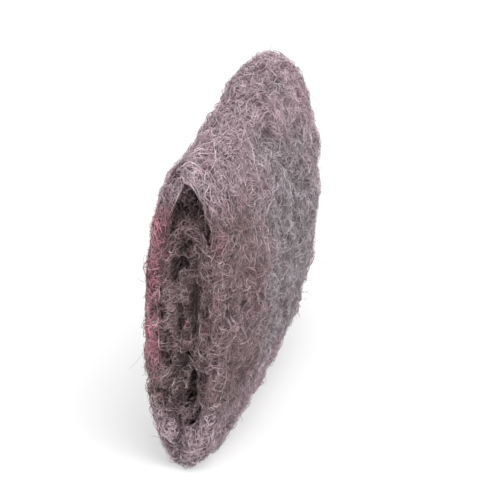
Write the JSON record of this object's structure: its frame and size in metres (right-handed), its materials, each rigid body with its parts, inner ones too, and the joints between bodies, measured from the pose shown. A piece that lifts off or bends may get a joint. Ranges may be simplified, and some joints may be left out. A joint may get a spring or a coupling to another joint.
{
  "type": "steel wool pad",
  "caption": "Scouring pad of soap-filled steel wool: one strip wound into a flat, pillow-shaped roll that stands on its folded edge.",
  "frame": {"origin": "on the plane the pad stands on, under the middle of its bounding box", "axes": "+Y along the roll's axis, +X through the pad's thickness, towards the face without the strip's outer end, +Z from the lower fold to the upper one"},
  "size_m": [0.0242, 0.076, 0.0625],
  "materials": {
    "steel_wool": "matted dull grey steel fibres with dried pink soap between them"
  },
  "bodies": {
    "root": {"steel_wool_pad": "steel_wool"}
  },
  "joints": []
}
